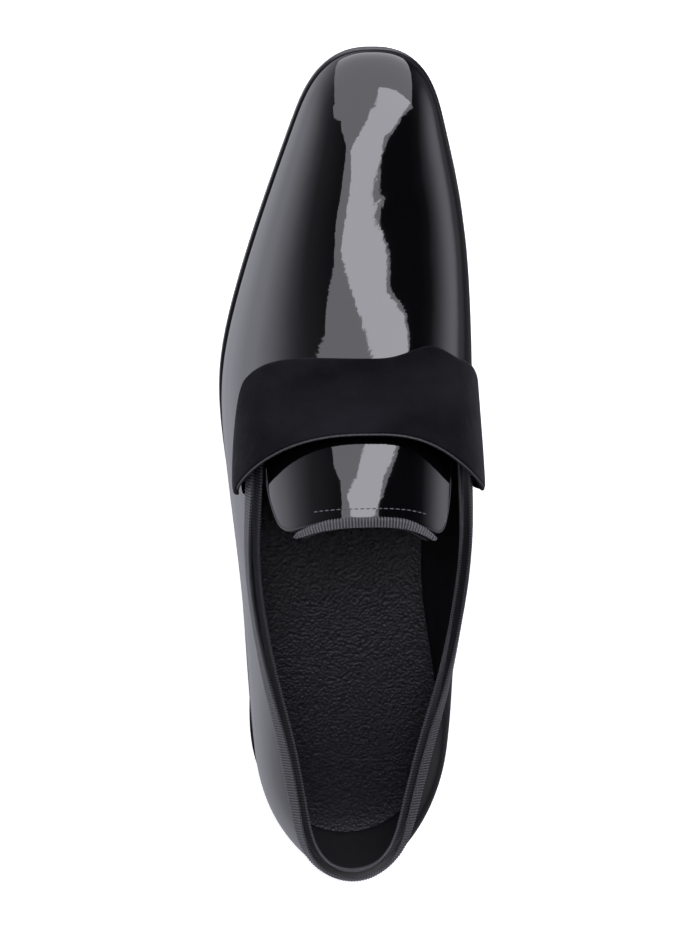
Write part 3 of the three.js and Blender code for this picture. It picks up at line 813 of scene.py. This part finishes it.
def paint_rib_shade(piece, points, crest):
    """Gives each vertex how close it is to a rib's crest, by the nearest point of the path; the ribbon's
    colour reads it to paint a highlight on the crests and shade between the ribs.
    """
    tree = KDTree(len(points))
    for index, point in enumerate(points):
        tree.insert(((point + ROW_SHIFT) * MM).tolist(), index)
    tree.balance()
    values = [crest[tree.find(vertex.co)[1]] for vertex in piece.data.vertices]
    attribute = piece.data.attributes.new(RIB_SHADE_ATTRIBUTE, "FLOAT", "POINT")
    attribute.data.foreach_set("value", values)


def make_ribbon(name, points, out, wall, depth, materials):
    """Sweeps the folded ribbon along a path, ribs across it. The depth is given for each point."""
    tangent = unit(np.gradient(points, axis=0))
    up = unit(np.cross(out, tangent))
    length = np.concatenate([[0], np.cumsum(np.linalg.norm(np.diff(points, axis=0), axis=1))])
    crest = (0.5 + 0.5 * np.cos(2 * np.pi * length / RIB_PITCH)) ** RIB_ROUNDNESS
    rib = RIB_HEIGHT * (crest - 0.5)
    outward, upward, ribbed = ribbon_profile(wall).T
    fold = np.maximum(upward, 0)
    away = unit(np.stack([outward + wall / 2, fold], -1))
    across = outward[None] + away[None, :, 0] * ribbed * rib[:, None]
    along_up = np.minimum(upward, 0)[None] * depth[:, None] + fold[None]
    along_up = along_up + away[None, :, 1] * ribbed * rib[:, None]
    sections = points[:, None] + out[:, None] * across[..., None] + up[:, None] * along_up[..., None]
    sections = np.concatenate([sections, sections[:, :1]], 1)
    caps = [np.repeat(sections[end].mean(0)[None, None], sections.shape[1], 1) for end in (0, -1)]
    sections = np.concatenate([caps[0], sections, caps[1]], 0)
    piece = mesh_of(name, [sections], materials)
    paint_rib_shade(piece, points, crest)
    return piece


def make_collar_ribbon():
    start = y_to_turn(RIBBON_START - 2)
    turns = np.linspace(start, -start, 1201)
    path, _ = resample(
        np.concatenate([upper_point(turns, collar_climb(turn_to_y(turns))), turns[:, None]], 1),
        RIB_PITCH / RIB_SAMPLES)
    turns = path[:, 3]
    climb = collar_climb(turn_to_y(turns))
    ribbon = make_ribbon(
        "topline_ribbon", upper_point(turns, climb), upper_normal(turns, climb), UPPER_WALL,
        np.full(len(turns), COLLAR_RIBBON_DEPTH), [RIBBON])
    settle(ribbon, "ribbon", "topline_binding")


def tongue_face(row, column):
    y, across, _ = tongue_place(row, column)
    turn, climb = over_instep(y, across)
    normal = upper_normal(turn, climb)
    return upper_point(turn, climb) - normal * TONGUE_DEPTH, normal


def tongue_edge(side_start):
    """Rows and columns along the tongue's free edge, from its lateral side round the rear to the medial."""
    side = np.linspace(side_start, 1, 200)
    rear = np.linspace(0, 1, 300)[1:-1]
    row = np.concatenate([side, np.ones(len(rear)), side[::-1]])
    column = np.concatenate([np.zeros(len(side)), rear, np.ones(len(side))])
    return row, column


def make_tongue_ribbon():
    column = np.linspace(TONGUE_RIBBON_SPAN[0], TONGUE_RIBBON_SPAN[1], 400)
    edge, normal = tongue_face(np.ones(len(column)), column)
    path, _ = resample(np.concatenate([edge, normal], 1), RIB_PITCH / RIB_SAMPLES)
    edge, normal = path[:, :3], unit(path[:, 3:6])
    share = np.linspace(0, 1, len(edge))
    taper = np.sqrt(np.clip(np.minimum(share, 1 - share) / TONGUE_RIBBON_TAPER, 0, 1))
    depth = TONGUE_END_RIBBON_DEPTH + (TONGUE_RIBBON_DEPTH - TONGUE_END_RIBBON_DEPTH) * taper
    inward = unit(np.cross(np.gradient(edge, axis=0), normal))
    edge = edge + inward * (TONGUE_RIBBON_SINK * (1 - taper))[:, None]
    ribbon = make_ribbon("tongue_ribbon", edge, normal, TONGUE_THICKNESS, depth, [RIBBON])
    settle(ribbon, "ribbon", "tongue_binding")


def tube(points, radius, sides=8):
    """A tube round a path, as a grid with closed ends. The radius may differ from point to point."""
    tangent = unit(np.gradient(points, axis=0))
    across = unit(np.cross(tangent, (0, 0, 1)))
    up = np.cross(across, tangent)
    angle = np.linspace(0, 2 * np.pi, sides + 1)
    ring = across[:, None] * np.cos(angle)[None, :, None] + up[:, None] * np.sin(angle)[None, :, None]
    radius = np.broadcast_to(radius, len(points)).copy()
    sections = points[:, None] + ring * radius[:, None, None]
    ends = [np.repeat(points[end][None, None], sides + 1, 1) for end in (0, -1)]
    return np.concatenate([ends[0], sections, ends[1]], 0)


def make_tongue_bead():
    """The folded edge of the patent that shows as a fine bright line round the tongue."""
    row, column = tongue_edge(TONGUE_BEAD_START)
    inset = TONGUE_BEAD_INSET
    row = np.minimum(row, 1 - inset)
    column = 0.5 + (column - 0.5) * (1 - inset)
    edge, normal = tongue_face(row, column)
    path, _ = resample(edge - normal * BEAD_RADIUS * BEAD_DROP, BEAD_STEP)
    path = smooth_path(path, BEAD_SMOOTHING)
    settle(mesh_of("tongue_bead", [tube(path, BEAD_RADIUS)], [PATENT]), "patent")


def make_tongue_stitches():
    """A row of short stitches just inside the ribbon, along the middle of the tongue's rear edge."""
    column = np.linspace(TONGUE_STITCH_SPAN[0], TONGUE_STITCH_SPAN[1], 400)
    edge, normal = tongue_face(np.full(len(column), TONGUE_STITCH_ROW), column)
    path, length = resample(np.concatenate([edge, normal], 1), STITCH_STEP)
    stitches = []
    count = int(length[-1] / STITCH_PITCH)
    for index in range(count):
        start = int(index * STITCH_PITCH / STITCH_STEP)
        stop = int((index * STITCH_PITCH + STITCH_LENGTH) / STITCH_STEP)
        run = path[start:stop:2]
        share = np.linspace(0, 1, len(run))
        arch = STITCH_RADIUS * (0.2 + 1.1 * np.sin(np.pi * share))
        points = run[:, :3] + run[:, 3:] * arch[:, None]
        radius = STITCH_RADIUS * np.sqrt(np.sin(np.pi * (0.08 + 0.84 * share)))
        stitches.append(tube(points, radius, 6))
    settle(mesh_of("tongue_stitches", stitches, [THREAD]), "ribbon")


def make_strap_edge():
    """The cut edge of the velvet's backing, a fine paler line along the strap's rear edge."""
    column = np.linspace(STRAP_EDGE_SPAN[0], STRAP_EDGE_SPAN[1], 500)
    y, across, lift = strap_place(np.ones(len(column)), column)
    turn, climb = over_instep(y, across)
    points = upper_point(turn, climb) + upper_normal(turn, climb) * (
        lift + STRAP_THICKNESS * STRAP_EDGE_PLACE)[:, None]
    path, length = resample(points, STRAP_EDGE_STEP)
    ripple = 1 + STRAP_EDGE_SWELL * np.sin(2 * np.pi * length / STRAP_EDGE_RIPPLE) ** 2
    ends = np.clip(np.minimum(length, length[-1] - length) / STRAP_EDGE_FADE, 0.05, 1)
    edge = mesh_of("strap_cut_edge", [tube(path, STRAP_EDGE_RADIUS * ripple * ends)], [BACKING])
    settle(edge, "velvet")


make_upper()
make_outsole()
make_insole()
make_heel()
make_strap()
make_tongue()
make_collar_ribbon()
make_tongue_ribbon()
make_tongue_bead()
make_tongue_stitches()
make_strap_edge()


# Studio

def turn_matrix():
    """Rows: the camera's right, up and back."""
    tilt, side, roll = CAMERA_TILT, CAMERA_SIDE, CAMERA_ROLL
    turns = Matrix.Rotation(roll, 3, "Z") @ Matrix.Rotation(tilt, 3, "X") @ Matrix.Rotation(side, 3, "Y")
    return np.array(turns)


def make_camera():
    axes = turn_matrix()
    data = bpy.data.cameras.new("camera")
    data.sensor_fit = "HORIZONTAL"
    data.sensor_width = SENSOR_WIDTH
    data.lens = FOCAL_PIXELS / PHOTO_WIDTH * SENSOR_WIDTH
    data.clip_start = 0.01
    data.clip_end = 50
    camera = bpy.data.objects.new("camera", data)
    bpy.context.scene.collection.objects.link(camera)
    place = Matrix(axes.T.tolist()).to_4x4()
    place.translation = ((CAMERA_TARGET + CAMERA_DISTANCE * axes[2]) * MM).tolist()
    camera.matrix_world = place
    bpy.context.scene.camera = camera


def world_ramp(tree, source, stops):
    ramp = tree.nodes.new("ShaderNodeValToRGB")
    tree.links.new(source, ramp.inputs["Fac"])
    elements = ramp.color_ramp.elements
    while len(elements) < len(stops):
        elements.new(0.5)
    for element, (position, value) in zip(elements, stops):
        element.position = position
        element.color = (value, value, value * 1.06, 1)
    return ramp.outputs["Color"]


def make_world():
    """Studio surroundings by direction: pale on the left and low down, dark overhead and on the right,
    up to a pale rim at the far right. They are seen in the gloss."""
    world = bpy.data.worlds.new("studio")
    bpy.context.scene.world = world
    world.use_nodes = True
    tree = world.node_tree
    place = tree.nodes.new("ShaderNodeTexCoord")
    split = tree.nodes.new("ShaderNodeSeparateXYZ")
    tree.links.new(place.outputs["Generated"], split.inputs["Vector"])
    shares = []
    for axis in ("X", "Z"):
        share = tree.nodes.new("ShaderNodeMapRange")
        share.inputs["From Min"].default_value = -1
        tree.links.new(split.outputs[axis], share.inputs["Value"])
        shares.append(share.outputs["Result"])
    by_side = world_ramp(tree, shares[0], WORLD_BY_SIDE)
    by_height = world_ramp(tree, shares[1], WORLD_BY_HEIGHT)
    mix = tree.nodes.new("ShaderNodeMix")
    mix.data_type = "RGBA"
    mix.blend_type = "MULTIPLY"
    mix.inputs["Factor"].default_value = 1
    tree.links.new(by_side, mix.inputs["A"])
    tree.links.new(by_height, mix.inputs["B"])
    tree.links.new(mix.outputs["Result"], tree.nodes["Background"].inputs["Color"])
    tree.nodes["Background"].inputs["Strength"].default_value = WORLD_STRENGTH


def make_floor():
    """A pale floor that the gloss leaves out, so that the surroundings show in the patent."""
    data = bpy.data.meshes.new("floor")
    reach = FLOOR_REACH
    corners = [(-reach, -reach, 0), (reach, -reach, 0), (reach, reach, 0), (-reach, reach, 0)]
    data.from_pydata(corners, [], [(0, 1, 2, 3)])
    floor = bpy.data.objects.new("floor", data)
    bpy.context.scene.collection.objects.link(floor)
    data.materials.append(FLOOR)
    floor.visible_glossy = False


def make_card(name, corners, light):
    """A flat glowing card of the studio, seen only in the gloss and by what it lights."""
    glow = new_material(
        name + "_glow", (0, 0, 0), 1, Emission_Color=CARD_TINT, Emission_Strength=light)
    data = bpy.data.meshes.new(name)
    data.from_pydata(corners, [], [tuple(range(len(corners)))])
    card = bpy.data.objects.new(name, data)
    bpy.context.scene.collection.objects.link(card)
    data.materials.append(glow)
    card.visible_camera = False


make_camera()
make_world()
make_floor()
bright_height = CARD_HEIGHT - BRIGHT_CARD_DROP
make_card("wide_card", [(x, y, CARD_HEIGHT) for x, y in WIDE_CARD], WIDE_CARD_LIGHT)
make_card("bright_card", [(x, y, bright_height) for x, y in BRIGHT_CARD], BRIGHT_CARD_LIGHT)
make_card("front_card", [(x, FRONT_CARD_REACH, z) for x, z in FRONT_CARD], WIDE_CARD_LIGHT)
bpy.context.scene.view_settings.view_transform = "Standard"
